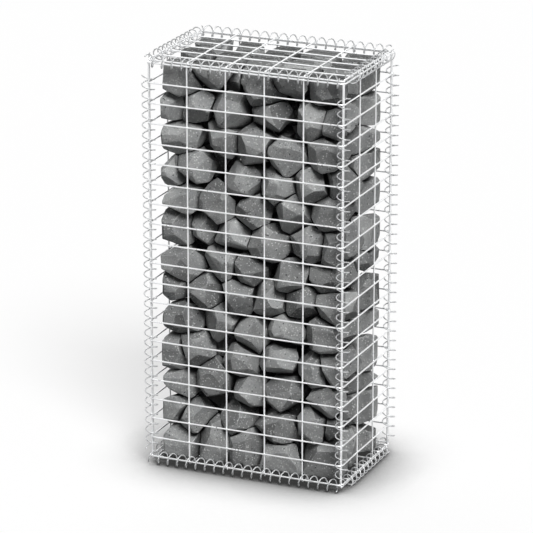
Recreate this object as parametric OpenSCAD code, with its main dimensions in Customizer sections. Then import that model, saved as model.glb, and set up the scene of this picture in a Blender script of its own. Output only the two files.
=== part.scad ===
// Gabion wall unit: a welded wire basket, laced along its edges with spirals and filled with broken stone.
// Millimetres, +Z up. The origin is on the ground under the middle of the basket, with the front at -Y.

/* [Basket] */
// Width between the centres of the outermost upright wires
basket_w = 500; // [300:50:1000]
// Depth between the centres of the side panels' end wires
basket_d = 300; // [200:50:500]
// Height between the lowest and the highest cross wire
basket_h = 1000; // [300:50:1500]

/* [Welded mesh] */
// Diameter of the mesh wire
wire_d = 4; // [3:0.5:5]
// Spacing of the upright wires, and of the wires that cross the lid from front to back
bay_w = 100; // [50:10:150]
// Spacing of the cross wires
bay_h = 50; // [30:10:100]
// How far crossing wires sink into each other at a weld
weld_sink = 0.8; // [0.3:0.1:1.2]
// Length of wire left beyond the last weld
wire_stub = 1.5; // [0.5:0.1:2]
// Gap between the wires of neighbouring panels
panel_gap = 0.5; // [0.3:0.1:1]
// Flat sides of a wire's section
wire_sides = 8; // [6:2:12]

/* [Edge spirals] */
// Diameter of the leaning rings that make up a spiral, between the centres of the wire
spiral_ring_d = 31.25; // [28:0.25:44]
// Diameter of the spiral's wire
spiral_wire_d = 3; // [2:0.5:4]
// Usual length of one turn along the edge: whole turns are fitted between the wires that the spiral laces
spiral_pitch = 25; // [20:1:40]
// Gap between the spirals that meet at a corner
spiral_gap = 1; // [0.5:0.5:4]
// Gap between a spiral and the wires that it bears on
spiral_seat = 0.3; // [0.2:0.1:0.6]

/* [Stone fill] */
// Usual width of a stone, along the wall
stone_w = 93; // [70:1:140]
// Usual depth of a stone, through the wall
stone_d = 90; // [70:1:140]
// Usual height of a course of stones
stone_h = 77; // [60:1:120]
// Gap between the spirals and the stones
stone_margin = 2; // [2:0.5:20]
// Gap between the lid's wires and the top of the fill
lid_margin = 6; // [2:1:30]
// Gap between neighbouring stones where they bear on each other
stone_joint = 0.5; // [0.3:0.1:0.8]
// Gap between the base's wires and the stones that rest on them
stone_seat = 0.2; // [0.1:0.1:0.5]
// How far a stone's centre strays from its place along the wall, as a share of the spacing
stray_along = 0.28; // [0:0.02:0.3]
// The same through the wall
stray_through = 0.12; // [0:0.02:0.3]
// The same up the wall
stray_up = 0.24; // [0:0.02:0.3]
// How much of that is left to the stones at the ends of the wall, which keep its corners straight
end_calm = 0.35; // [0:0.05:1]

/* [Broken faces] */
// How steeply the outer face of a stone may lean, as a rise over a run
face_tilt = 0.06; // [0:0.01:0.2]
// How far the middle of an outer face lies behind the side of the fill
face_setback = 1; // [0:0.5:10]
// How far from a stone's centre its corners are broken off
chip_reach = 46; // [42:1:60]
// How much that distance varies
chip_spread = 6; // [0:1:10]
// How much further out the corners stay at the ends of the wall
chip_end = 0; // [0:1:10]
// Ways, spread evenly around a stone, in which corners are broken off
chip_count = 12; // [6:1:16]
// Share of the outer edges that are broken wide
wide_share = 0.46; // [0:0.02:1]
// Least width of a wide break on the outer face
wide_least = 13; // [8:1:20]
// Most width of a wide break on the outer face
wide_most = 26; // [10:1:30]
// Usual depth of a wide break over its width
wide_slope = 1.05; // [0.6:0.05:2]
// Share of that width at the ends of the wall
wide_end = 1; // [0.2:0.1:1]
// Least width of the break along every other outer edge
thin_least = 5; // [1:1:8]
// Most width of that break
thin_most = 10; // [2:1:12]
// Depth of that break over its width
thin_slope = 3; // [1:0.1:4]
// Least width of the break at an upright corner of the fill
corner_least = 3; // [0:1:8]
// Most width of the break at an upright corner of the fill
corner_most = 7; // [2:1:20]

/* [Hidden] */
// Spacing of the two layers of wire in a panel
layer = wire_d - weld_sink;
// Distance from one panel's wires to the wires of the panel it meets
corner_step = wire_d + panel_gap;
// Spacing of wires spread evenly over a length, and the length of a turn that fits it
function bay(length, step) = length / max(1, round(length / step));
function turn(spacing) = spacing / max(1, round(spacing / spiral_pitch));
upright_turn = turn(bay(basket_h, bay_h));
long_turn = turn(bay(basket_w, bay_w));
short_turn = turn(bay(basket_d, bay_h));

// How far a spiral's rings lean, and its least diameter, which is that across the leaning rings
function lean(pitch) = asin(pitch / 2 / spiral_ring_d);
function coil_d(pitch) = spiral_ring_d * cos(lean(pitch));
// How far a spiral reaches from its centre line towards the panels that it laces
function reach(pitch) = norm([coil_d(pitch), spiral_ring_d]) / sqrt(8) + spiral_wire_d / 2;
spiral_reach = max(reach(upright_turn), reach(long_turn), reach(short_turn));

// Where the spirals' centre lines run: outside the middle of the wires that each one laces
lace_x = basket_w / 2 + layer / 2;
lace_y = basket_d / 2 + (corner_step + layer) / 2;
lace_z = (corner_step + layer) / 2;

// How far the inner wires of a panel lie outside those centre lines
inner_off = (corner_step - layer) / 2;

// Heights of the lowest and the highest cross wire: the spirals under the base stand on the ground
low_z = lace_z + spiral_reach;
high_z = low_z + basket_h;

// The block of space that the stones fill
fill_x = lace_x - spiral_reach - stone_margin;
fill_y = lace_y - spiral_reach - stone_margin;
fill_low = low_z - corner_step + wire_d / 2 + stone_seat;
fill_high = high_z + corner_step - wire_d / 2 - lid_margin;

// Stones along the wall, through the wall, and courses
along = max(1, round(2 * fill_x / stone_w));
through = max(1, round(2 * fill_y / stone_d));
courses = max(1, round((fill_high - fill_low) / stone_h));
// Spacing of the stones that fits the block
pitch_x = 2 * fill_x / along;
pitch_y = 2 * fill_y / through;
pitch_z = (fill_high - fill_low) / courses;
// Stones further apart than this don't meet
stone_reach = 1.6 * max(pitch_x, pitch_y, pitch_z);
// Stones whose bearing face lies nearer than this may share a broken edge with a stone
edge_reach = 0.67 * max(pitch_x, pitch_y, pitch_z);
// Size of a block that stands for one side of a cutting plane
side_block = 4 * stone_reach;

// A wire of few sides along +Z, with a flat towards each axis
module wire(length) {
    rotate(180 / wire_sides)
        cylinder(h = length, d = wire_d / cos(180 / wire_sides), $fn = wire_sides);
}

// Places of wires spread evenly over a length
function spread(length, step) =
    let (spacing = bay(length, step))
    [for (i = [0 : round(length / spacing)]) i * spacing - length / 2];

// A panel of two layers of wire, centred in the XY plane and welded where they cross:
// the wires along Y at height 0 and the wires along X at the given height
module welded_mesh(width, height, step_x, step_y, cross_z) {
    color("gainsboro") {
        for (x = spread(width, step_x))
            translate([x, height / 2 + wire_stub, 0])
                rotate([90, 0, 0])
                    wire(height + 2 * wire_stub);
        for (y = spread(height, step_y))
            translate([-width / 2 - wire_stub, y, cross_z])
                rotate([0, 90, 0])
                    wire(width + 2 * wire_stub);
    }
}

// Front or back: the cross wires are outermost, on the side that faces -Y
module long_panel() {
    translate([0, -basket_d / 2 - corner_step, low_z + basket_h / 2])
        rotate([90, 0, 0])
            welded_mesh(basket_w, basket_h, bay_w, bay_h, layer);
}

// Left or right: the panel stands between the front and the back, its cross wires towards +X
module end_panel() {
    translate([basket_w / 2, 0, low_z + basket_h / 2])
        rotate([90, 0, 90])
            welded_mesh(basket_d, basket_h, bay_w, bay_h, layer);
}

// Lid or base, lying on its cross wires: the wires from front to back are outermost, on the upper side
module flat_panel() {
    translate([0, 0, corner_step + layer])
        welded_mesh(basket_w, basket_d, bay_w, bay_h, -layer);
}

module front_panel() { long_panel(); }
module back_panel() { rotate(180) long_panel(); }
module right_panel() { end_panel(); }
module left_panel() { rotate(180) end_panel(); }
module lid_panel() { translate([0, 0, high_z]) flat_panel(); }
module base_panel() { translate([0, 0, low_z]) mirror([0, 0, 1]) flat_panel(); }

// Half a turn of a spiral: a half ring, leaning so that its ends are half a pitch apart
module half_turn(pitch) {
    rotate([0, lean(pitch), 0])
        rotate_extrude(angle = 180)
            translate([spiral_ring_d / 2, 0])
                circle(d = spiral_wire_d, $fn = 32);
}

// How far a spiral slides along its edge to bear on the wires that pass through its coils.
// It starts with its outermost points level with those wires, which lie a given distance off its centre line
function slide(pitch, off) =
    let (around = 135 - asin(2 * off / coil_d(pitch)))
    let (rise = pitch / 4 * (1 - cos(around)))
    let (slope = atan(pitch / 2 * sin(around) / coil_d(pitch)))
    rise - ((wire_d + spiral_wire_d) / 2 + spiral_seat) / cos(slope);

// A left-handed spiral along Z about the origin, of as many half turns as the length holds.
// Before it slides down, its outermost points lie towards +X at every turn
module spiral(length, pitch, off) {
    halves = max(1, floor((length - spiral_wire_d) / pitch));
    color("whitesmoke")
        translate([0, 0, -slide(pitch, off)])
            mirror([0, 1, 0])
                for (i = [-halves : halves - 1])
                    translate([0, 0, (i + 0.5) * pitch / 2])
                        rotate(180 * i)
                            half_turn(pitch);
}

// The spirals along the front and the back run through the corners, and the others stop short of them
long_run = basket_w + layer;
short_run = 2 * (lace_y - spiral_reach - spiral_gap);
upright_run = basket_h + 2 * (lace_z - spiral_reach - spiral_gap);

// Spirals along the wall, through the wall and up its corners; a side is -1 or 1
module long_spiral(side, z, side_z) {
    translate([0, side * lace_y, z])
        rotate([0, 90, 0])
            rotate(atan2(side, -side_z))
                spiral(long_run, long_turn, side == side_z ? inner_off : lace_z);
}

module short_spiral(side, z, side_z) {
    translate([side * lace_x, 0, z])
        rotate([90, 0, 0])
            rotate(atan2(side_z, side))
                spiral(short_run, short_turn, side == side_z ? -layer / 2 : inner_off);
}

module upright_spiral(side_x, side_y) {
    translate([side_x * lace_x, side_y * lace_y, low_z + basket_h / 2])
        rotate(atan2(side_y, side_x))
            spiral(upright_run, upright_turn, side_x == side_y ? layer / 2 : lace_z);
}

// A number from 0 to 1 that looks random and is always the same for the same key
function chance(key) = let (s = 43758.5453 * sin(78.233 * key + 12.9898)) s - floor(s);
function key(i, j, k, use) = 1 + use + 31 * (i + 13 * (j + 11 * k));

// Every second course starts with a half stone, as in a bonded wall
function stones_in(k) = along + k % 2;
function course_x(i, k) = k % 2 == 0 ? i + 0.5 : min(max(i, 0.3), along - 0.3);

// Centre of stone i along, j through and k up
function end_stone(i, k) = i == 0 || i == stones_in(k) - 1;
function strays(i, j, k, use) = 2 * chance(key(i, j, k, use)) - 1;
function stone_centre(i, j, k) =
    let (calm = end_stone(i, k) ? end_calm : 1)
    [
        (course_x(i, k) + calm * stray_along * strays(i, j, k, 0)) * pitch_x - fill_x,
        (j + 0.5 + stray_through * strays(i, j, k, 1)) * pitch_y - fill_y,
        (k + 0.5 + stray_up * strays(i, j, k, 2)) * pitch_z + fill_low
    ];

// The planes that bound a stone, each as the way out and how far it lies from the stone's centre.
// Bearing faces: halfway to the stones around it
function bearing_faces(i, j, k, centre) = [
    for (c = [max(0, k - 1) : min(courses - 1, k + 1)], b = [0 : through - 1], a = [0 : stones_in(c) - 1])
        let (way = stone_centre(a, b, c) - centre, apart = norm(way))
        if (apart > 0 && apart < stone_reach) [way / apart, (apart - stone_joint) / 2]
];

// Outer faces: at the sides they lean by chance, a little behind the side. The top and the bottom are flat
function leaning(way, off, seed) =
    let (lean = way + face_tilt * [for (n = [0 : 2]) 2 * chance(seed + n) - 1])
    [lean / norm(lean), (off - face_setback) * (lean * way) / norm(lean)];
function outer_faces(i, j, k, centre) = concat(
    i == 0 ? [leaning([-1, 0, 0], fill_x + centre.x, key(i, j, k, 20))] : [],
    i == stones_in(k) - 1 ? [leaning([1, 0, 0], fill_x - centre.x, key(i, j, k, 20))] : [],
    j == 0 ? [leaning([0, -1, 0], fill_y + centre.y, key(i, j, k, 23))] : [],
    j == through - 1 ? [leaning([0, 1, 0], fill_y - centre.y, key(i, j, k, 23))] : [],
    k == courses - 1 ? [[[0, 0, 1], fill_high - centre.z]] : [],
    k == 0 ? [[[0, 0, -1], centre.z - fill_low]] : []
);

// Which way an outer face looks: along the wall, or up or down
function is_end(way) = abs(way.x) > 0.9;
function is_flat(way) = abs(way.z) > 0.9;

// A break along the edge between an outer face and a bearing face: its plane is off the edge by the width
function broken_edge(outer, bearing, seed) =
    let (wide = !is_flat(outer[0]) && chance(seed) < wide_share)
    let (size = chance(seed + 0.31))
    let (wide_width = (wide_least + (wide_most - wide_least) * size) * (is_end(outer[0]) ? wide_end : 1))
    let (width = wide ? wide_width : thin_least + (thin_most - thin_least) * size)
    let (slope = wide ? wide_slope * (0.75 + 0.5 * chance(seed + 0.53)) : thin_slope)
    let (way = outer[0] + slope * bearing[0])
    let (run = sqrt(1 - pow(outer[0] * bearing[0], 2)))
    [way / norm(way), (outer[1] + slope * (bearing[1] - width * run)) / norm(way)];
function broken_edges(outers, bearings, seed) = [
    for (n = [0 : 1 : len(outers) - 1], m = [0 : 1 : len(bearings) - 1])
        let (outer = outers[n], bearing = bearings[m])
        if (outer[0].z > -0.9 && abs(outer[0] * bearing[0]) < 0.75 && bearing[1] < edge_reach)
            broken_edge(outer, bearing, seed + 0.137 * (1 + m + 40 * n))
];

// A break at an upright corner of the fill, where two outer faces of a stone meet
function corner_breaks(outers, seed) = [
    for (n = [0 : 1 : len(outers) - 2])
        let (width = corner_least + (corner_most - corner_least) * chance(seed + 0.77))
        let (slope = 0.6 + 0.9 * chance(seed + 0.91))
        let (way = outers[n][0] + slope * outers[n + 1][0])
        if (is_end(outers[n][0]) && !is_flat(outers[n + 1][0]))
            [way / norm(way), (outers[n][1] + slope * (outers[n + 1][1] - width)) / norm(way)]
];

// Broken corners: ways spread evenly over a ball, turned by a chance angle. The edges and the flat top and
// bottom of the whole fill are kept
function chip_faces(i, j, k, outers) = [
    for (n = [0 : chip_count - 1])
        let (z = 1 - (2 * n + 1) / chip_count, r = sqrt(1 - z * z))
        let (around = 137.508 * n + 360 * chance(key(i, j, k, 3)))
        let (way = [r * cos(around), r * sin(around), z])
        let (met = [for (outer = outers) if (way * outer[0] > 0.2) outer[0]])
        let (more = len(met) == 1 && is_end(met[0]) ? chip_end : 0)
        if (len(met) == 0 || (len(met) == 1 && !is_flat(met[0])))
            [way, chip_reach + more + chip_spread * strays(i, j, k, 4 + n)]
];

// Everything on the near side of a plane that lies off the origin along a direction
module near_side(direction, off) {
    rotate([0, acos(direction.z), atan2(direction.y, direction.x)])
        translate([-side_block / 2, -side_block / 2, -side_block])
            cube([side_block, side_block, side_block + off]);
}

// One stone: the part of the block that lies on the near side of all its planes
module stone(i, j, k) {
    centre = stone_centre(i, j, k);
    bearings = bearing_faces(i, j, k, centre);
    outers = outer_faces(i, j, k, centre);
    edges = broken_edges(outers, bearings, key(i, j, k, 0));
    corners = corner_breaks(outers, key(i, j, k, 0));
    faces = concat(bearings, outers, edges, corners, chip_faces(i, j, k, outers));
    intersection() {
        translate([-fill_x, -fill_y, fill_low])
            cube([2 * fill_x, 2 * fill_y, fill_high - fill_low]);
        translate(centre)
            intersection_for (face = faces)
                near_side(face[0], face[1]);
    }
}

module stone_course(k) {
    color("dimgray")
        for (j = [0 : through - 1], i = [0 : stones_in(k) - 1])
            stone(i, j, k);
}

function course_name(k) = str("stone_course_", k < 9 ? "0" : "", k + 1);

front_panel();
back_panel();
left_panel();
right_panel();
lid_panel();
base_panel();
long_spiral(-1, high_z + lace_z, 1);  // spiral_lid_front
long_spiral(1, high_z + lace_z, 1);  // spiral_lid_back
long_spiral(-1, low_z - lace_z, -1);  // spiral_base_front
long_spiral(1, low_z - lace_z, -1);  // spiral_base_back
short_spiral(-1, high_z + lace_z, 1);  // spiral_lid_left
short_spiral(1, high_z + lace_z, 1);  // spiral_lid_right
short_spiral(-1, low_z - lace_z, -1);  // spiral_base_left
short_spiral(1, low_z - lace_z, -1);  // spiral_base_right
upright_spiral(-1, -1);  // spiral_front_left
upright_spiral(1, -1);  // spiral_front_right
upright_spiral(-1, 1);  // spiral_back_left
upright_spiral(1, 1);  // spiral_back_right
for (k = [0 : courses - 1])
    stone_course(k);
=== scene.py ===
# %% [markdown]
# # A gabion wall in Blender
# A gabion is a wire basket full of broken stone. This lesson dresses a CAD model of one: the CAD
# says where every panel, spiral and stone is, and the cells below give each of them its real
# surface. All lengths are in metres, and every piece is built in the CAD's own frame, so nothing
# has to be fitted.

# %% Load the frame
import math

import bpy
import numpy as np
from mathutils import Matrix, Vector


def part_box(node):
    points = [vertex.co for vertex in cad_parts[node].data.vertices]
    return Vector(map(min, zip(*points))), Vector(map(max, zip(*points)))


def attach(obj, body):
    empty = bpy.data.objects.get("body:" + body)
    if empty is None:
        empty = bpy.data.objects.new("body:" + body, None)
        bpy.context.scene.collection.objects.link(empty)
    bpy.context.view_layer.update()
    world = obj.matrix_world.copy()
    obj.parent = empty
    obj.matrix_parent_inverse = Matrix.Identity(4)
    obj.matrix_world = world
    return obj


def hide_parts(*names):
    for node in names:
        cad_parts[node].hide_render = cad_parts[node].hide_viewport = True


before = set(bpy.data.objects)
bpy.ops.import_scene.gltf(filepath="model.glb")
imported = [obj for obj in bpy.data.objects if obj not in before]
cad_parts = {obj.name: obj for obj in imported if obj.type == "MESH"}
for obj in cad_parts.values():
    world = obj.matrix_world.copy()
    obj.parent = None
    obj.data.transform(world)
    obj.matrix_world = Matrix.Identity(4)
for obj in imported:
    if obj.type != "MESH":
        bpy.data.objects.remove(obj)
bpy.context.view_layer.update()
BODY = "root"
X, Y, Z = 0, 1, 2

# %% [markdown]
# ## Camera
# The picture was taken from far away with a long lens, from the front right and a little above.
# A camera could be placed by eye, but here its numbers come from fitting a camera to the wire
# crossings: a point to look at, two angles, a distance and a focal length, so the perspective
# agrees as well.

# %% Camera
LOOK_AT = np.array([-0.01146, 0.0, 0.49407])
AZIMUTH, ELEVATION = math.radians(23.477), math.radians(18.251)
DISTANCE = 8.5122
SENSOR_MM, LENS_MM = 36.0, 236.28


def away(azimuth, elevation):
    """Unit vector from the object towards a viewer: azimuth 0 is the front, and elevation is
    above the horizon."""
    level = math.cos(elevation)
    return np.array([math.sin(azimuth) * level, -math.cos(azimuth) * level, math.sin(elevation)])


def aimed(towards):
    """Euler angles that turn an object's -Z away from a direction and keep its Y upright."""
    return Vector(towards).to_track_quat("Z", "Y").to_euler()


lens = bpy.data.cameras.new("camera")
lens.sensor_width, lens.lens = SENSOR_MM, LENS_MM
camera = bpy.data.objects.new("camera", lens)
camera.location = LOOK_AT + DISTANCE * away(AZIMUTH, ELEVATION)
camera.rotation_euler = aimed(away(AZIMUTH, ELEVATION))
bpy.context.scene.collection.objects.link(camera)
bpy.context.scene.camera = camera
print("camera at", [round(v, 3) for v in camera.location])

# %% [markdown]
# ## Meshes from arrays
# Blender's modelling tools would be slow for hundreds of stones and coils. Each shape here is
# worked out with numpy as whole arrays of points and triangles, and `foreach_set` hands them to
# a mesh in one go.

# %% Mesh helpers
def piece_from(name, points, triangles, material, slot, node):
    """A smooth-shaded mesh object in place of a CAD node, riding on the same body."""
    mesh = bpy.data.meshes.new(name)
    mesh.vertices.add(len(points))
    mesh.vertices.foreach_set("co", np.ascontiguousarray(points, np.float32).ravel())
    mesh.loops.add(3 * len(triangles))
    mesh.loops.foreach_set("vertex_index", np.ascontiguousarray(triangles, np.int32).ravel())
    mesh.polygons.add(len(triangles))
    starts = np.arange(0, 3 * len(triangles), 3, dtype=np.int32)
    mesh.polygons.foreach_set("loop_start", starts)
    mesh.polygons.foreach_set("use_smooth", np.ones(len(triangles), bool))
    mesh.update(calc_edges=True)
    mesh.validate()
    mesh.materials.append(material)
    piece = bpy.data.objects.new(name, mesh)
    bpy.context.scene.collection.objects.link(piece)
    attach(piece, BODY)
    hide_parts(node)
    return piece


def grid_triangles(rows, columns):
    """Two triangles for each cell of a grid of points whose last column is joined to its first."""
    across = np.arange(columns)
    a = (np.arange(rows - 1)[:, None] * columns + across).ravel()
    step = np.tile((across + 1) % columns - across, rows - 1)
    b, c, d = a + step, a + step + columns, a + columns
    return np.concatenate([np.stack([a, b, c], 1), np.stack([a, c, d], 1)])


def joined(parts):
    """Many (points, triangles) pairs as one pair: the triangles' numbers move up by the points
    before them."""
    starts = np.cumsum([0] + [len(points) for points, _ in parts[:-1]])
    points = np.concatenate([p for p, _ in parts])
    triangles = np.concatenate([t + start for (_, t), start in zip(parts, starts)])
    return points, triangles


print("a tube of 3 rings of 8 points has", len(grid_triangles(3, 8)), "triangles")

# %% [markdown]
# ## Nodes from code
# Materials are trees of nodes. They could be drawn by hand in the shader editor, but a script
# keeps them in one file and lets two materials share a recipe. The helpers below each add one
# kind of node and return the socket that the next node needs.

# %% Node helpers
COLOUR_A, COLOUR_B, COLOUR_OUT = 6, 7, 2


def plug(tree, socket, value):
    """An input linked from another socket, or set to a value; three numbers are a colour."""
    if isinstance(value, bpy.types.NodeSocket):
        tree.links.new(value, socket)
    else:
        socket.default_value = (*value, 1.0) if isinstance(value, tuple) else value


def add_node(tree, kind, inputs=None, **settings):
    """A node with its settings and inputs."""
    made = tree.nodes.new(kind)
    for key, value in settings.items():
        setattr(made, key, value)
    for key, value in (inputs or {}).items():
        plug(tree, made.inputs[key], value)
    return made


def calc(tree, operation, a, b=0.0):
    """One arithmetic step between two values or sockets."""
    return add_node(tree, "ShaderNodeMath", {0: a, 1: b}, operation=operation).outputs["Value"]


def weighted(tree, *terms):
    """The sum of values times weights, given as (value, weight) pairs."""
    total = calc(tree, "MULTIPLY", *terms[0])
    for value, weight in terms[1:]:
        total = calc(tree, "ADD", total, calc(tree, "MULTIPLY", value, weight))
    return total


def rescaled(tree, value, start=0.0, stop=1.0, low=0.0, high=1.0):
    """A value that runs from start to stop, stretched to run from low to high and kept there."""
    ends = {"From Min": start, "From Max": stop, "To Min": low, "To Max": high}
    return add_node(tree, "ShaderNodeMapRange", {"Value": value, **ends}).outputs["Result"]


def ramp(tree, value, stops):
    """A colour ramp through (place, grey or colour) stops."""
    made = add_node(tree, "ShaderNodeValToRGB", {"Fac": value})
    elements = made.color_ramp.elements
    for n, (place, colour) in enumerate(stops):
        spot = elements[n] if n < len(elements) else elements.new(place)
        spot.position = place
        spot.color = (*(colour if isinstance(colour, tuple) else 3 * (colour,)), 1.0)
    return made.outputs["Color"]


def blend_colour(tree, how, amount, a, b):
    """Two colours mixed: how is the blend mode, such as MIX or MULTIPLY."""
    inputs = {"Factor": amount, COLOUR_A: a, COLOUR_B: b}
    made = add_node(tree, "ShaderNodeMix", inputs, data_type="RGBA", blend_type=how)
    return made.outputs[COLOUR_OUT]


def noise(tree, place, scale, detail, roughness=0.5):
    """A cloudy noise from 0 to 1: scale is cells to a metre, detail is how many finer layers."""
    inputs = {"Vector": place, "Scale": scale, "Detail": detail, "Roughness": roughness}
    return add_node(tree, "ShaderNodeTexNoise", inputs).outputs["Fac"]


def cells(tree, place, scale, channel):
    """Voronoi cells: a chance value for each cell, and the distance to the cell's middle."""
    made = add_node(tree, "ShaderNodeTexVoronoi", {"Vector": place, "Scale": scale})
    split = add_node(tree, "ShaderNodeSeparateColor", {"Color": made.outputs["Color"]})
    return split.outputs[channel], made.outputs["Distance"]


print("node helpers:", [helper.__name__ for helper in (add_node, calc, ramp, noise, cells)])

# %% [markdown]
# ## Groups and materials
# A group is a recipe that several materials can use. It is built once, with named sockets. What
# is the same all over a surface needs no recipe: such values sit on the shader's own sockets.

# %% Groups and materials
FLOAT, VECTOR = "NodeSocketFloat", "NodeSocketVector"


def new_group(name, numbers, results):
    """A shader node group with a Vector input, number inputs with their usual values, and number
    outputs."""
    group = bpy.data.node_groups.new(name, "ShaderNodeTree")
    group.interface.new_socket("Vector", in_out="INPUT", socket_type=VECTOR)
    for title, value in numbers.items():
        made = group.interface.new_socket(title, in_out="INPUT", socket_type=FLOAT)
        made.default_value = value
    for title in results:
        group.interface.new_socket(title, in_out="OUTPUT", socket_type=FLOAT)
    given = group.nodes.new("NodeGroupInput").outputs
    return group, given, group.nodes.new("NodeGroupOutput").inputs


def new_material(name, constants):
    """A material with one Principled shader, whose constant values sit on its own sockets."""
    material = bpy.data.materials.new(name)
    material.use_nodes = True
    shader = material.node_tree.nodes["Principled BSDF"].inputs
    for title, value in constants.items():
        shader[title].default_value = value
    return material, material.node_tree, shader


def object_place(tree):
    """Where a point lies in its own object's coordinates."""
    return tree.nodes.new("ShaderNodeTexCoord").outputs["Object"]


def roughened(tree, shader, height, strength, depth):
    """A bump: the shader's normal leans as if the surface had the given height."""
    inputs = {"Height": height, "Strength": strength, "Distance": depth}
    bump = add_node(tree, "ShaderNodeBump", inputs)
    tree.links.new(bump.outputs["Normal"], shader["Normal"])


print("recipes:", [helper.__name__ for helper in (new_group, new_material, roughened)])

# %% [markdown]
# ## Galvanised wire
# Hot-dipped zinc freezes in patches of crystals, each a slightly different grey, and dulls as it
# ages. A photograph of zinc could be wrapped round the wire, but a wire has no good place for a
# seam. Cells of a Voronoi texture in object space give the patches, and a soft noise gives the
# dull bloom over them. Both kinds of wire share this as one node group, which gives out only what
# changes over the surface: the shader stays outside.

# %% The zinc group
BLOOM_SCALE, BLOOM_DETAIL = 38.0, 4.0
BLOOM_FROM, BLOOM_FULL = 0.4, 0.7
GRAIN_SCALE, GRAIN_DETAIL = 1400.0, 2.0
PATCH_TONE, BLOOM_TONE = 0.55, 0.45
LEAST_ROUGH, PATCH_ROUGH, BLOOM_ROUGH = 0.26, 0.12, 0.22
PATCH_HEIGHT = 0.3


def zinc_group():
    """Patches of crystals under a dull bloom: how pale, how rough and how high the zinc is."""
    group, given, out = new_group(
        "zinc_spangle", {"Patch Scale": 260.0, "Bloom": 0.5}, ("Tone", "Roughness", "Height"))
    place = given["Vector"]
    shade, _ = cells(group, place, given["Patch Scale"], "Red")
    bloom = rescaled(group, noise(group, place, BLOOM_SCALE, BLOOM_DETAIL), BLOOM_FROM, BLOOM_FULL)
    bloom = calc(group, "MULTIPLY", bloom, given["Bloom"])
    grain = noise(group, place, GRAIN_SCALE, GRAIN_DETAIL)
    rough = weighted(group, (bloom, BLOOM_ROUGH), (shade, PATCH_ROUGH))
    height = calc(group, "ADD", weighted(group, (shade, PATCH_HEIGHT)), grain)
    group.links.new(weighted(group, (shade, PATCH_TONE), (bloom, BLOOM_TONE)), out["Tone"])
    group.links.new(calc(group, "ADD", rough, LEAST_ROUGH), out["Roughness"])
    group.links.new(height, out["Height"])
    return group


ZINC = zinc_group()
print("zinc group:", len(ZINC.nodes), "nodes")

# %% [markdown]
# ## Two zinc finishes
# The mesh looks bright and even. The spirals, of thinner wire, vary more from dull to bright. Two
# materials could be built apart, but one function makes both, so that only the numbers that differ
# are written twice.

# %% The two finishes
ZINC_BUMP, ZINC_DEPTH = 0.25, 0.0002


def galvanised(name, dull, bright, patch_scale, bloom, metallic):
    """A zinc finish between two greys, with patches of the given fineness."""
    material, tree, shader = new_material(name, {"Metallic": metallic})
    inputs = {"Vector": object_place(tree), "Patch Scale": patch_scale, "Bloom": bloom}
    zinc = add_node(tree, "ShaderNodeGroup", inputs, node_tree=ZINC).outputs
    tree.links.new(blend_colour(tree, "MIX", zinc["Tone"], dull, bright), shader["Base Color"])
    tree.links.new(zinc["Roughness"], shader["Roughness"])
    roughened(tree, shader, zinc["Height"], ZINC_BUMP, ZINC_DEPTH)
    return material


mesh_zinc = galvanised(
    "mesh_zinc", dull=(0.90, 0.91, 0.92), bright=(0.98, 0.985, 0.99),
    patch_scale=240.0, bloom=0.7, metallic=0.65)
spiral_zinc = galvanised(
    "spiral_zinc", dull=(0.45, 0.46, 0.47), bright=(0.95, 0.955, 0.96),
    patch_scale=330.0, bloom=0.4, metallic=0.15)
print("zinc finishes:", mesh_zinc.name, spiral_zinc.name)

# %% [markdown]
# ## Wires
# A wire is a circle carried along a path. A curve object with a bevel would do that too, but its
# ends would be flat, and here they are slightly rounded. The same function makes the spirals,
# whose path is a helix.

# %% A round wire along a path
WIRE_R, WIRE_SIDES = 0.002, 10
DOME_RING, DOME_OUT, DOME_TIP = 0.6, 0.245, 0.35


def wire_along(path, radius, sides):
    """P(s, t) = path(s) + radius (cos t A(s) + sin t B(s)), where A and B stand square to the path
    at s. Domes close the ends: a narrower ring, then a tip, a little beyond the path. Their sizes
    are shares of the radius."""
    tangent = np.gradient(path, axis=0)
    tangent /= np.linalg.norm(tangent, axis=1, keepdims=True)
    out = tangent[[0, -1]] * [[-radius], [radius]]
    path = np.concatenate([path[:1] + DOME_OUT * out[:1], path, path[-1:] + DOME_OUT * out[1:]])
    tangent = np.concatenate([tangent[:1], tangent, tangent[-1:]])
    radii = np.full(len(path), radius)
    radii[[0, -1]] *= DOME_RING
    aside = np.eye(3)[np.argmin(np.abs(tangent).max(0))]
    side = np.cross(tangent, aside)
    side /= np.linalg.norm(side, axis=1, keepdims=True)
    up = np.cross(tangent, side)
    t = np.linspace(0.0, 2.0 * np.pi, sides, endpoint=False)
    ring = np.cos(t)[None, :, None] * side[:, None] + np.sin(t)[None, :, None] * up[:, None]
    points = (path[:, None] + radii[:, None, None] * ring).reshape(-1, 3)
    tips = path[[0, -1]] + (DOME_TIP - DOME_OUT) * out
    around = np.arange(sides)
    ahead = (around + 1) % sides
    last = len(points) - sides
    first_dome = np.stack([ahead, around, np.full(sides, len(points))], 1)
    last_dome = np.stack([around + last, ahead + last, np.full(sides, len(points) + 1)], 1)
    triangles = [grid_triangles(len(path), sides), first_dome, last_dome]
    return np.concatenate([points, tips]), np.concatenate(triangles)


print("wire:", 2000.0 * WIRE_R, "mm thick,", WIRE_SIDES, "points round it")

# %% [markdown]
# ## Wires that stray
# Straight drawn wire is never quite straight: it strays by a fraction of a millimetre. A texture
# could displace it, but a sum of a few slow sine waves, each with a chance speed and start, is as
# smooth and can't pass a limit.

# %% A straying wire
POINTS_APART = 0.0125
STRAY, WAVES_IN_WIRE = 0.0003, 3
SLOWEST, FASTEST = 2.0, 9.0
rng = np.random.default_rng(7)


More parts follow.
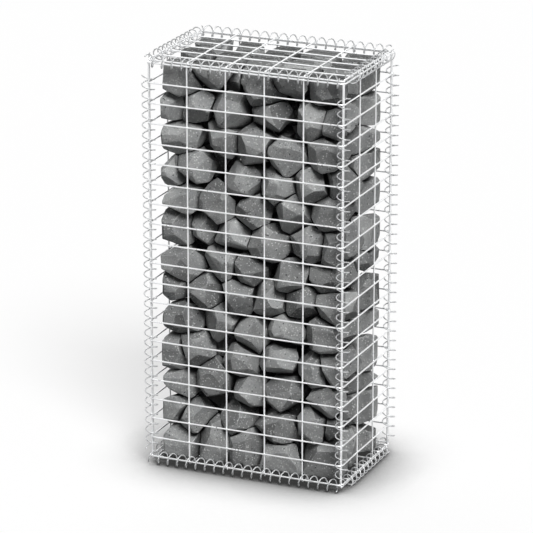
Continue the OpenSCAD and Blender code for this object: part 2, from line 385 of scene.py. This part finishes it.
def straying_wire(start, end):
    """A straight line from start to end, plus slow sine waves sideways whose sum stays under STRAY
    along each axis."""
    length = np.linalg.norm(end - start)
    s = np.linspace(0.0, 1.0, max(2, round(length / POINTS_APART)) + 1)[:, None]
    speed = rng.uniform(SLOWEST, FASTEST, (WAVES_IN_WIRE, 1, 3))
    phase = rng.uniform(0.0, 2.0 * np.pi, (WAVES_IN_WIRE, 1, 3))
    waves = np.sin((speed * s + phase) * np.pi / 2.0).sum(0)
    sideways = (STRAY / WAVES_IN_WIRE) * waves
    along = (end - start) / length
    sideways -= (sideways @ along)[:, None] * along
    return wire_along(start + s * (end - start) + sideways, WIRE_R, WIRE_SIDES)


print("wires stray by up to", round(1000.0 * STRAY, 2), "mm along each axis")

# %% [markdown]
# ## Welds
# Where two wires cross they are welded, and a small bead of metal is squeezed out. Blender could
# put an instance of a sphere at each crossing. Here the bead is an ellipsoid between the two wires
# that goes into the panel's own mesh, so that a panel stays one piece.

# %% A weld bead
BEAD_SIZE, BEAD_FLAT = 0.0028, 0.75
BEAD_RINGS, BEAD_SIDES = 5, 8


def weld_bead(centre, flat_axis):
    """An ellipsoid: P(u, v) = centre + size (sin u cos v, sin u sin v, flat cos u), with the last
    of the three along the flat axis."""
    u = np.linspace(0.0, np.pi, BEAD_RINGS + 2)[1:-1, None]
    v = np.linspace(0.0, 2.0 * np.pi, BEAD_SIDES, endpoint=False)
    ball = [np.sin(u) * np.cos(v), np.sin(u) * np.sin(v), np.cos(u) + 0.0 * v]
    ball = np.stack(ball, 2).reshape(-1, 3)
    ball = np.concatenate([ball, [[0.0, 0.0, 1.0], [0.0, 0.0, -1.0]]]) * [1.0, 1.0, BEAD_FLAT]
    around = np.arange(BEAD_SIDES)
    ahead = (around + 1) % BEAD_SIDES
    last = (BEAD_RINGS - 1) * BEAD_SIDES
    top = np.stack([np.full(BEAD_SIDES, len(ball) - 2), around, ahead], 1)
    low = np.stack([np.full(BEAD_SIDES, len(ball) - 1), ahead + last, around + last], 1)
    body = grid_triangles(BEAD_RINGS, BEAD_SIDES)[:, ::-1]
    turned = np.roll(ball, flat_axis - Z, axis=1)
    return centre + BEAD_SIZE * turned, np.concatenate([body, top, low])


print("a weld bead has", len(weld_bead(np.zeros(3), Z)[1]), "triangles")

# %% [markdown]
# ## Welded panels
# A panel is two layers of wire, pressed into each other by a few tenths of a millimetre. An array
# modifier could repeat one wire, but every wire here strays in its own way. The CAD's box of each
# panel gives its width, height and place, and the spacing of the wires gives the rest.

# %% Welded panels
BAY_WIDE, BAY_HIGH = 0.1, 0.05
END_GAP = 0.0005


def spread(low, high, spacing):
    """Places spread evenly from low to high, at about the given spacing."""
    return np.linspace(low, high, round((high - low) / spacing) + 1)


def welded_panel(name, node, wide_axis, high_axis, outward):
    """A panel in the plane of two axes. Wires along the high axis stand BAY_WIDE apart and wires
    along the wide axis BAY_HIGH apart. outward is the side, +1 or -1 along the third axis, on
    which the wires along the wide axis lie."""
    low, high = (np.array(corner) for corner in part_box(node))
    thin_axis = X + Y + Z - wide_axis - high_axis
    layers = (low[thin_axis] + WIRE_R, high[thin_axis] - WIRE_R)
    along_high, along_wide = layers if outward > 0 else layers[::-1]
    inset = DOME_TIP * WIRE_R + END_GAP
    parts = []
    wide_places = spread(low[wide_axis] + WIRE_R, high[wide_axis] - WIRE_R, BAY_WIDE)
    high_places = spread(low[high_axis] + WIRE_R, high[high_axis] - WIRE_R, BAY_HIGH)
    for places, fixed, run, depth in ((wide_places, wide_axis, high_axis, along_high),
                                      (high_places, high_axis, wide_axis, along_wide)):
        for place in places:
            ends = np.zeros((2, 3))
            ends[:, fixed], ends[:, thin_axis] = place, depth
            ends[:, run] = low[run] + inset, high[run] - inset
            parts.append(straying_wire(*ends))
    for across in wide_places:
        for along in high_places:
            spot = np.zeros(3)
            spot[[wide_axis, high_axis, thin_axis]] = across, along, sum(layers) / 2.0
            parts.append(weld_bead(spot, thin_axis))
    points, triangles = joined(parts)
    piece_from(name, points, triangles, mesh_zinc, "mesh_wire", node)
    wires = f"{len(wide_places)} by {len(high_places)} wires"
    print(name, wires, len(triangles), "triangles")


welded_panel("front_mesh", "front_panel", X, Z, -1)
welded_panel("back_mesh", "back_panel", X, Z, 1)
welded_panel("left_mesh", "left_panel", Y, Z, -1)
welded_panel("right_mesh", "right_panel", Y, Z, 1)
welded_panel("lid_mesh", "lid_panel", X, Y, -1)
welded_panel("base_mesh", "base_panel", X, Y, 1)

# %% [markdown]
# ## Edge spirals
# Along every edge a long wire spiral is screwed round the end wires of two panels. Blender has a
# Screw modifier, but a helix is one line of algebra. Where each spiral starts, how long and wide
# it is and the angle of its first turn are read from its CAD solid, so that it laces the same
# wires without cutting through them.

# %% Edge spirals
COIL_WIRE_R, COIL_SIDES = 0.0015, 8
COIL_PITCH, POINTS_A_TURN = 0.025, 22
TIP_NEAR = 0.0003


def node_points(node):
    """A CAD node's points as an array."""
    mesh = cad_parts[node].data
    points = np.empty(3 * len(mesh.vertices))
    mesh.vertices.foreach_get("co", points)
    return points.reshape(-1, 3)


def edge_spiral(name, node):
    """A left-handed helix: P(s) = middle + R (cos a(s) A + sin a(s) B) + s C, where C runs along
    the edge and the angle a falls by a full turn for each pitch of s."""
    points = node_points(node)
    low, high = points.min(0), points.max(0)
    run = int(np.argmax(high - low))
    across = [(run + 1) % 3, (run + 2) % 3]
    middle = (low + high) / 2.0
    start, stop = low[run] + COIL_WIRE_R, high[run] - COIL_WIRE_R
    radius = (high - low)[across].mean() / 2.0 - COIL_WIRE_R
    tip = points[points[:, run] < low[run] + TIP_NEAR].mean(0) - middle
    first = math.atan2(tip[across[1]], tip[across[0]])
    turns = (stop - start) / COIL_PITCH
    s = np.linspace(0.0, stop - start, round(turns * POINTS_A_TURN) + 1)
    angle = first - 2.0 * np.pi * s / COIL_PITCH
    path = np.empty((len(s), 3))
    path[:, run] = start + s
    path[:, across[0]] = middle[across[0]] + radius * np.cos(angle)
    path[:, across[1]] = middle[across[1]] + radius * np.sin(angle)
    tube = wire_along(path, COIL_WIRE_R, COIL_SIDES)
    piece_from(name, *tube, spiral_zinc, "spiral_wire", node)
    print(name, round(turns, 2), "turns,", len(tube[1]), "triangles")


for node in sorted(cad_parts):
    if node.startswith("spiral_"):
        edge_spiral(node.replace("spiral_", "") + "_coil", node)

# %% [markdown]
# ## Grit
# The fill is dark basalt: broken, not worn, with a fine crystalline grain, pale flecks and small
# gas pits. Flecks could be scattered as geometry, but there are far too many. In the shader each
# cell of a Voronoi texture draws a chance number. Its sixth power is small for most cells, so that
# only a few of them hold a spot that can be seen.

# %% The grit group
FLECK_SIZE, PIT_SIZE = 0.748, 0.44
SPOT_RARITY, SPOT_EDGE = 6.0, 0.12
STONE_GRAIN = dict(scale=420.0, detail=5.0, roughness=0.7)
STONE_LUMPS = dict(scale=75.0, detail=6.0, roughness=0.62)
LUMP_HEIGHT, GRAIN_HEIGHT, PIT_DEPTH = 1.6, 0.55, 0.5
GRIT_RESULTS = ("Flecks", "Pits", "Grain", "Height")


def spots(tree, place, scale, size):
    """A mask of spots round the middles of a few cells."""
    pick, distance = cells(tree, place, scale, "Green")
    reach = calc(tree, "MULTIPLY", calc(tree, "POWER", pick, SPOT_RARITY), size)
    return rescaled(tree, calc(tree, "SUBTRACT", reach, distance), stop=SPOT_EDGE)


def grit_group():
    """Flecks, pits and a fine grain: masks for the colour and a height for the bump."""
    group, given, out = new_group(
        "stone_grit", {"Fleck Scale": 330.0, "Pit Scale": 190.0}, GRIT_RESULTS)
    place = given["Vector"]
    grain = noise(group, place, **STONE_GRAIN)
    flecks = spots(group, place, given["Fleck Scale"], FLECK_SIZE)
    pits = spots(group, place, given["Pit Scale"], PIT_SIZE)
    lumps = noise(group, place, **STONE_LUMPS)
    height = weighted(group, (lumps, LUMP_HEIGHT), (grain, GRAIN_HEIGHT), (pits, -PIT_DEPTH))
    for title, value in zip(GRIT_RESULTS, (flecks, pits, grain, height)):
        group.links.new(value, out[title])
    return group


GRIT = grit_group()
print("grit group:", len(GRIT.nodes), "nodes")

# %% [markdown]
# ## Basalt
# A flat grey would look like plastic, so the colour comes from three scales of pattern: a tone for
# each broken face, clouds a few centimetres across, and the grit. The tone of faces that lie level
# on top is made darker, as painted shade. Edges are paler, partly as fresh breaks are and partly as
# a painted highlight, and an attribute written with the mesh tells the shader how sharp an edge
# each point lies on. The gaps between the stones are darkened as painted shade. They could be
# painted one by one, but an Ambient Occlusion node finds them by itself.

# %% The basalt finish
CLOUDS = dict(scale=16.0, detail=5.0)
CLOUD_STOPS = [(0.3, (0.265, 0.271, 0.273)), (0.7, (0.375, 0.380, 0.377))]
TONE_STOPS = [(0.0, 0.30), (0.5, 1.0), (1.0, 1.4)]
GRAIN_STOPS, GRAIN_SHARE = [(0.3, 0.55), (0.7, 1.35)], 0.7
# Pale edges: partly the paleness of fresh breaks, partly a painted highlight.
EDGE_PALE_AND_HIGHLIGHT_GREY, EDGE_PALE_AND_HIGHLIGHT_SHARE = (0.62, 0.63, 0.63), 1.3
FLECK_GREY, FLECK_SHARE = (0.66, 0.67, 0.66), 0.8
PIT_GREY, PIT_SHARE = (0.035, 0.038, 0.040), 0.85
# Painted shade: how far Ambient Occlusion looks, and how dark it makes the gaps between stones.
CREVICE_SHADE_REACH, CREVICE_SHADE_STOPS = 0.04, [(0.20, 0.02), (0.60, 1.0)]
STONE_GLOSS, STONE_ROUGH = 0.28, (0.72, 0.95)
STONE_BUMP, STONE_DEPTH = 0.6, 0.0016


def attribute(tree, name):
    """A number that was written with the mesh."""
    return add_node(tree, "ShaderNodeAttribute", attribute_name=name).outputs["Fac"]


def openness(tree, reach):
    """1 where nothing lies within reach above the surface, and less in a crevice or a corner."""
    return add_node(tree, "ShaderNodeAmbientOcclusion", {"Distance": reach}).outputs["AO"]


def basalt_finish():
    """Body colour, then grit and pale edges (partly a painted highlight) over it, then painted
    shade in the crevices.
    """
    material, tree, shader = new_material("broken_basalt", {"Specular IOR Level": STONE_GLOSS})
    place = object_place(tree)
    grit = add_node(tree, "ShaderNodeGroup", {"Vector": place}, node_tree=GRIT).outputs
    flecks, pits, grain, height = (grit[title] for title in GRIT_RESULTS)
    body = ramp(tree, noise(tree, place, **CLOUDS), CLOUD_STOPS)
    tones_and_top_shade = ramp(tree, attribute(tree, "face_tone"), TONE_STOPS)
    body = blend_colour(tree, "MULTIPLY", 1.0, body, tones_and_top_shade)
    body = blend_colour(tree, "MULTIPLY", GRAIN_SHARE, body, ramp(tree, grain, GRAIN_STOPS))
    # Pale edges, partly fresh breaks and partly a painted highlight, mixed in where edges are
    # sharp.
    keen = calc(tree, "MULTIPLY", attribute(tree, "edge_keen"), weighted(tree, (grain, EDGE_PALE_AND_HIGHLIGHT_SHARE)))
    body = blend_colour(tree, "MIX", keen, body, EDGE_PALE_AND_HIGHLIGHT_GREY)
    body = blend_colour(tree, "MIX", weighted(tree, (flecks, FLECK_SHARE)), body, FLECK_GREY)
    body = blend_colour(tree, "MIX", weighted(tree, (pits, PIT_SHARE)), body, PIT_GREY)
    # Painted shade: Ambient Occlusion darkens the colour in the gaps between stones and beside the
    # wires.
    painted_crevice_shade = ramp(tree, openness(tree, CREVICE_SHADE_REACH), CREVICE_SHADE_STOPS)
    tree.links.new(blend_colour(tree, "MULTIPLY", 1.0, body, painted_crevice_shade), shader["Base Color"])
    low, high = STONE_ROUGH
    tree.links.new(rescaled(tree, grain, low=low, high=high), shader["Roughness"])
    roughened(tree, shader, height, STONE_BUMP, STONE_DEPTH)
    return material


basalt = basalt_finish()
print("stone finish:", basalt.name)

# %% [markdown]
# ## Stones and their faces
# Each CAD stone is a convex block with flat faces, but a course of them reaches Blender as loose
# triangles. Blender's limited dissolve could merge them. Here numpy sorts the triangles into
# stones, and then into flat faces, because the next steps need each face as a ring of corners.

# %% Stones in a course
CAD_DIGITS = 5


def node_triangles(node):
    """A CAD node's points, merged to a hundredth of a millimetre, and its triangles as numbers of
    those points."""
    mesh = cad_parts[node].data
    mesh.calc_loop_triangles()
    numbers = np.empty(3 * len(mesh.loop_triangles), np.int32)
    mesh.loop_triangles.foreach_get("vertices", numbers)
    rounded = np.round(node_points(node), CAD_DIGITS)
    points, same = np.unique(rounded, axis=0, return_inverse=True)
    triangles = same.ravel()[numbers].reshape(-1, 3)
    whole = (triangles != np.roll(triangles, 1, axis=1)).all(1)
    return points, triangles[whole]


def solids_in(points, triangles):
    """One label for each triangle: points that triangles join take the lowest label among them
    until none changes."""
    label = np.arange(len(points))
    while True:
        lowest = label[triangles].min(1)
        new = label.copy()
        np.minimum.at(new, triangles.ravel(), lowest.repeat(3))
        if (new == label).all():
            return label[triangles[:, 0]]
        label = new


courses = [node for node in sorted(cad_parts) if node.startswith("stone_course_")]
course_boxes = np.array([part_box(node) for node in courses])
fill = course_boxes[:, 0].min(0), course_boxes[:, 1].max(0)
print(len(courses), "courses fill", [round(float(v), 3) for v in fill[1] - fill[0]], "m")

# %% Flat faces
FLAT_WITHIN, SAME_WAY = 2e-4, 0.98
TINY = 1e-12


def in_order(corners, normal):
    """Points of a flat face in order round it, counter-clockwise as seen from outside."""
    flat = corners - corners.mean(0)
    a = flat[0] / np.linalg.norm(flat[0])
    return corners[np.argsort(np.arctan2(flat @ np.cross(normal, a), flat @ a))]


def flat_faces(points, triangles):
    """The flat faces of a convex solid, each as its normal and its corners in order round it. The
    largest triangle left over takes all that lie in its plane, until none is left."""
    corners = points[triangles]
    normals = np.cross(corners[:, 1] - corners[:, 0], corners[:, 2] - corners[:, 0])
    size = np.linalg.norm(normals, axis=1)
    normals /= np.maximum(size, TINY)[:, None]
    offs = (normals * corners[:, 0]).sum(1)
    left = np.ones(len(triangles), bool)
    faces = []
    while left.any():
        big = np.argmax(np.where(left, size, -1.0))
        apart = np.abs((corners * normals[big]).sum(2) - offs[big]).max(1)
        mine = left & (apart < FLAT_WITHIN) & (normals @ normals[big] > SAME_WAY)
        mine[big] = True
        left &= ~mine
        faces.append((normals[big], in_order(points[np.unique(triangles[mine])], normals[big])))
    return faces


points, triangles = node_triangles(courses[0])
label = solids_in(points, triangles)
first_stone = flat_faces(points, triangles[label == label[0]])
print("the first of", len(np.unique(label)), "stones has", len(first_stone), "faces")

# %% [markdown]
# ## Fresh breaks
# The corners of the outer stones have come off, which leaves slanting faces and dark gaps beside
# them. Boolean modifiers could cut them, but hundreds of cuts are slow and give loose triangles
# again. Cutting a convex block by a plane is short: each face keeps the corners on one side, and
# the cut points together make the new face. The upright edges of the fill are spared. On its left
# and right sides the breaks go deeper, and the first of them leans inwards, away from those edges.

# %% Fresh breaks
BREAKS = 3
BREAK_LEAST, BREAK_MOST = 0.008, 0.018
BREAK_TILT = math.radians(40.0), math.radians(60.0)
END_DEEPER, END_STRAY = 1.7, 0.1
OUTER_NEAR, LEAN_MOST = 0.012, 0.3
CORNER_DIGITS = 6
SIDES = np.concatenate([-np.eye(3), np.eye(3)])


def broken_off(faces, way, off):
    """A convex solid cut by a plane: what lies further than off along the way is lost, and a new
    face closes the cut. On an edge from p to q that crosses the plane, the cut is at
    p + s (q - p), where s is p's share of the height."""
    kept, seam = [], []
    for normal, corners in faces:
        over = corners @ way - off
        ahead, over_ahead = np.roll(corners, -1, 0), np.roll(over, -1)
        crosses = (over > 0.0) != (over_ahead > 0.0)
        share = np.where(crosses, over, 0.0) / np.where(crosses, over - over_ahead, 1.0)
        cuts = corners + share[:, None] * (ahead - corners)
        stays = np.stack([over <= 0.0, crosses], 1).ravel()
        rows = np.stack([corners, cuts], 1).reshape(-1, 3)[stays]
        seam.append(cuts[crosses])
        if len(rows) > 2:
            kept.append((normal, rows))
    seam = np.unique(np.round(np.concatenate(seam), CORNER_DIGITS), axis=0)
    return kept + [(way, in_order(seam, way))] if len(seam) > 2 else kept


def fresh_breaks(faces, fill, draw):
    """Cuts across the corners of each outer face of a stone, other than one that faces down. A cut
    never leans towards another outer side of the fill, and it stops at the fill's upright edges,
    so those stay straight."""
    points = np.concatenate([corners for _, corners in faces])
    near = np.concatenate([points - fill[0], fill[1] - points], 1) < OUTER_NEAR
    outer = SIDES[near.any(0)]
    upright = points[(near[:, X] | near[:, X + 3]) & (near[:, Y] | near[:, Y + 3])]
    inwards = 0.0 if points[:, Y].mean() < 0.0 else np.pi
    for side in outer[outer[:, Z] >= 0.0]:
        first, deeper = draw.uniform(0.0, 2.0 * np.pi), 1.0
        if side[X]:
            first, deeper = inwards + END_STRAY * (first - np.pi), END_DEEPER
        for around in first + 2.0 * np.pi / BREAKS * np.arange(BREAKS):
            across = [0.0, math.cos(around), math.sin(around)]
            across = np.roll(across, int(np.argmax(np.abs(side))))
            tilt = draw.uniform(*BREAK_TILT)
            way = math.cos(tilt) * side + math.sin(tilt) * across
            depth = deeper * draw.uniform(BREAK_LEAST, BREAK_MOST)
            if (outer @ across).max() < LEAN_MOST:
                spared = (upright @ way).max(initial=-np.inf)
                faces = broken_off(faces, way, max((points @ way).max() - depth, spared))
    return faces


trial = fresh_breaks(first_stone, fill, np.random.default_rng(0))
print("with fresh breaks the first stone could have", len(trial), "faces")

# %% [markdown]
# ## Rough faces
# A broken face isn't flat: it swells and dips, and its edges are blunted and chipped. The block
# could be subdivided with modifiers, but then its edges would wander. Here every face becomes its
# own polar grid: one parameter runs round its rim, the other from the rim to the middle. The rims
# of neighbouring faces share their points, so the stone stays closed, and every point then sinks
# towards the stone's middle by a noise of its place.

# %% Noise and grid of a face
RIM_STEP = 0.0085
RING_STEP = 1.25 * RIM_STEP
BEVEL, INNER_LEAST = 0.0016, 0.5


class Waves:
    """A smooth noise: the sum of plane sine waves with chance directions and lengths, from about
    -1 to 1."""

    def __init__(self, count, shortest, longest, seed):
        draw = np.random.default_rng(seed)
        way = draw.normal(size=(count, 3))
        way /= np.linalg.norm(way, axis=1, keepdims=True)
        self.waves = (2.0 * np.pi / draw.uniform(shortest, longest, count))[:, None] * way
        self.phase = draw.uniform(0.0, 2.0 * np.pi, count)

    def __call__(self, points):
        return np.sin(points @ self.waves.T + self.phase).sum(1) / math.sqrt(len(self.phase))


def face_grid(points, corners):
    """P(r, t) = middle + r (rim(t) - middle) for r from 1, at the rim, to 0. Points on an edge are
    counted from its lower-numbered corner, so that both faces at an edge get exactly the same
    ones. The second ring lies a bevel's width inside the rim."""
    middle = points[corners].mean(0)
    rim = []
    for a, b in zip(corners, np.roll(corners, -1)):
        low, high = points[min(a, b)], points[max(a, b)]
        parts = max(1, round(np.linalg.norm(high - low) / RIM_STEP))
        edge = low + (np.arange(parts + 1) / parts)[:, None] * (high - low)
        rim.append(edge[:-1] if a < b else edge[:0:-1])
    rim = np.concatenate(rim)
    width = np.linalg.norm(rim - middle, axis=1).mean()
    inner = max(INNER_LEAST, 1.0 - BEVEL / width)
    rings = max(1, round(inner * width / RING_STEP))
    r = np.concatenate([[1.0], inner * np.arange(rings, 0, -1) / rings])
    grid = (middle + r[:, None, None] * (rim - middle)).reshape(-1, 3)
    around = np.arange(len(rim)) + (len(r) - 1) * len(rim)
    fan = np.stack([around, np.roll(around, -1), np.full(len(rim), len(grid))], 1)
    triangles = np.concatenate([grid_triangles(len(r), len(rim)), fan])
    return np.concatenate([grid, [middle]]), triangles


swell = Waves(14, 0.028, 0.080, 11)
hackle = Waves(18, 0.009, 0.020, 12)
chips = Waves(16, 0.007, 0.026, 13)
print("swell over the first course: spread", round(float(swell(points).std()), 2))

# %% A rough stone
SWELL, HACKLE = 0.0005, 0.00025
EDGE_WEAR, EDGE_CHIP = 0.0004, 0.0008
SHARPNESS = 4.0
STONE_TONES, FACE_TONES = (0.3, 0.7), 0.22
# Painted shade: how much darker a face that lies level on top is made.
PAINTED_TOP_SHADE, LEVEL_ONLY = 0.45, 8


def rough_stone(faces, draw):
    """A stone's points and triangles, how sharp an edge each point lies on, and a tone for each
    triangle, with painted shade darkening faces that lie level on top. Where faces meet, the mean
    of their normals is shorter the sharper the edge; inside a face its length is 1."""
    given = np.round(np.concatenate([corners for _, corners in faces]), CORNER_DIGITS)
    points, number = np.unique(given, axis=0, return_inverse=True)
    centre = points.mean(0)
    parts, normals, tones_and_top_shade = [], [], []
    stone_tone = draw.uniform(*STONE_TONES)
    ends = np.cumsum([len(corners) for _, corners in faces])
    for (normal, _), corners in zip(faces, np.split(number.ravel(), ends[:-1])):
        corners = corners[corners != np.roll(corners, 1)]
        if len(corners) < 3:
            continue
        parts.append(face_grid(points, corners))
        normals.append(np.tile(normal, (len(parts[-1][0]), 1)))
        # Painted shade: faces that lie level on top get a darker tone.
        painted_top_shade = PAINTED_TOP_SHADE * max(0.0, normal[Z]) ** LEVEL_ONLY
        tone_and_top_shade = stone_tone + draw.uniform(-FACE_TONES, FACE_TONES) - painted_top_shade
        tones_and_top_shade.append(np.full(len(parts[-1][1]), tone_and_top_shade))
    grid, numbers = joined(parts)
    grid, same = np.unique(grid, axis=0, return_inverse=True)
    same = same.ravel()
    total = np.zeros((len(grid), 3))
    np.add.at(total, same, np.concatenate(normals))
    mean_length = np.linalg.norm(total, axis=1) / np.bincount(same)
    keen = np.clip(SHARPNESS * (1.0 - mean_length), 0.0, 1.0)
    out = grid - centre
    reach = np.linalg.norm(out, axis=1)
    wear = EDGE_WEAR + EDGE_CHIP * np.maximum(0.0, chips(grid))
    sink = SWELL * (1.0 - swell(grid)) + HACKLE * (1.0 - hackle(grid)) + keen * wear
    worn = grid - np.maximum(sink, 0.0)[:, None] * out / reach[:, None]
    return worn, same[numbers], keen, np.concatenate(tones_and_top_shade)


print("a face sinks by about", round(1000.0 * (SWELL + HACKLE), 2), "mm")

# %% [markdown]
# ## Courses of stone
# The stones lie in rough courses. The CAD has a node for each course, so each course becomes one
# piece. Two attributes carry the sharpness of the edges and the tone of each face, with its painted
# shade on level tops, to the shader. Textures could do that too, but they would need UV maps.

# %% The courses of stone
def written(piece, name, domain, values):
    """A number for each point or face of a piece, as an attribute that shaders can read."""
    made = piece.data.attributes.new(name, "FLOAT", domain)
    made.data.foreach_set("value", np.concatenate(values).astype(np.float32))


def stone_course(name, node, fill, draw):
    """All stones of one course as one piece, with its two attributes."""
    points, triangles = node_triangles(node)
    label = solids_in(points, triangles)
    stones = []
    for which in np.unique(label):
        faces = flat_faces(points, triangles[label == which])
        stones.append(rough_stone(fresh_breaks(faces, fill, draw), draw))
    grid, numbers = joined([stone[:2] for stone in stones])
    piece = piece_from(name, grid, numbers, basalt, "stone", node)
    written(piece, "edge_keen", "POINT", [stone[2] for stone in stones])
    written(piece, "face_tone", "FACE", [stone[3] for stone in stones])
    print(name, len(stones), "stones,", len(numbers), "triangles")


draw_stone = np.random.default_rng(29)
for node in courses:
    stone_course(node.replace("stone_course", "stones"), node, fill, draw_stone)

# %% [markdown]
# ## Floor
# The wall stands on a plain white floor, a little darker where the basket meets it. A shadow
# catcher would need compositing. Here Ambient Occlusion paints a contact shadow near the basket
# into the floor's colour as the camera sees it, and for rays that the camera sees a white emission,
# darkened by the same painted shadow, is mixed in, so that the floor comes out mostly plain white
# and keeps a pale shadow, partly painted and partly cast by the lamps. To all other rays it is dark
# grey, and throws little light back at the wall.

# %% Floor
FLOOR_HALF = 30.0
FLOOR_WHITE, FLOOR_ROUGH = 0.72, 0.9
UNSEEN_GREY = (0.06, 0.06, 0.06)
# Painted shadow: how far Ambient Occlusion looks, and how dark the floor gets near the basket.
CONTACT_SHADOW_REACH, CONTACT_SHADOW_STOPS = 0.22, [(0.42, 0.05), (0.97, 1.0)]
FLOOR_CORNERS = np.array([[-1, -1, 0], [1, -1, 0], [1, 1, 0], [-1, 1, 0]]) * FLOOR_HALF


def seen_ray(tree):
    """1 for rays from the camera, and for those it sees in mirrors or through glass."""
    path = tree.nodes.new("ShaderNodeLightPath").outputs
    seen = calc(tree, "MAXIMUM", path["Is Camera Ray"], path["Is Glossy Ray"])
    return calc(tree, "MAXIMUM", seen, path["Is Transmission Ray"])


def white_floor():
    """A rough white with a white emission mixed in where the camera sees it; both are darkened near
    the basket as a painted contact shadow.
    """
    material, tree, shader = new_material(
        "white_floor", {"Roughness": FLOOR_ROUGH, "Specular IOR Level": 0.0})
    seen = seen_ray(tree)
    # Painted shadow: Ambient Occlusion darkens the floor's colour and glow near the basket.
    pale_with_painted_shadow = ramp(tree, openness(tree, CONTACT_SHADOW_REACH), CONTACT_SHADOW_STOPS)
    tree.links.new(blend_colour(tree, "MIX", seen, UNSEEN_GREY, pale_with_painted_shadow), shader["Base Color"])
    glow = add_node(tree, "ShaderNodeEmission", {"Color": pale_with_painted_shadow, "Strength": 1.0}).outputs[0]
    plain = tree.nodes["Principled BSDF"].outputs[0]
    share = calc(tree, "MULTIPLY", seen, FLOOR_WHITE)
    mixed = add_node(tree, "ShaderNodeMixShader", {0: share, 1: plain, 2: glow}).outputs[0]
    tree.links.new(mixed, tree.nodes["Material Output"].inputs["Surface"])
    return material


floor_mesh = bpy.data.meshes.new("floor")
floor_mesh.from_pydata(FLOOR_CORNERS.tolist(), [], [(0, 1, 2, 3)])
floor_mesh.materials.append(white_floor())
floor = bpy.data.objects.new("floor", floor_mesh)
bpy.context.scene.collection.objects.link(floor)
print("floor:", 2.0 * FLOOR_HALF, "m wide")

# %% [markdown]
# ## Light
# A studio would light the wall with a large softbox above the front right and a weaker one behind.
# Area lamps could stand in for them, but a sun lamp with a wide angle gives the same soft shadow
# and lights the whole floor evenly. The world is white to the camera and to mirrors, and only a
# faint fill as a light.

# %% Light
KEY_FROM, KEY_LEVEL, KEY_SPREAD = (0.44, -0.49, 0.75), 1.12, 24.0
BACK_FROM, BACK_LEVEL, BACK_SPREAD = (-0.50, 0.60, 0.62), 0.16, 60.0
FILL_LEVEL = 0.04
WHITE = (1.0, 1.0, 1.0, 1.0)


def sun(name, towards, level, spread_degrees):
    """A sun lamp that lights a white surface square to it at the given level; a wide angle softens
    its shadow."""
    light = bpy.data.lights.new(name, "SUN")
    light.energy, light.angle = math.pi * level, math.radians(spread_degrees)
    lamp = bpy.data.objects.new(name, light)
    lamp.rotation_euler = aimed(towards)
    bpy.context.scene.collection.objects.link(lamp)


sun("key", KEY_FROM, KEY_LEVEL, KEY_SPREAD)
sun("back", BACK_FROM, BACK_LEVEL, BACK_SPREAD)
world = bpy.data.worlds.new("studio")
world.use_nodes = True
bpy.context.scene.world = world
background = world.node_tree.nodes["Background"].inputs
background["Color"].default_value = WHITE
strength = rescaled(world.node_tree, seen_ray(world.node_tree), low=FILL_LEVEL)
world.node_tree.links.new(strength, background["Strength"])
bpy.context.scene.view_settings.view_transform = "Standard"
print("light: key", KEY_LEVEL, "back", BACK_LEVEL, "fill", FILL_LEVEL)
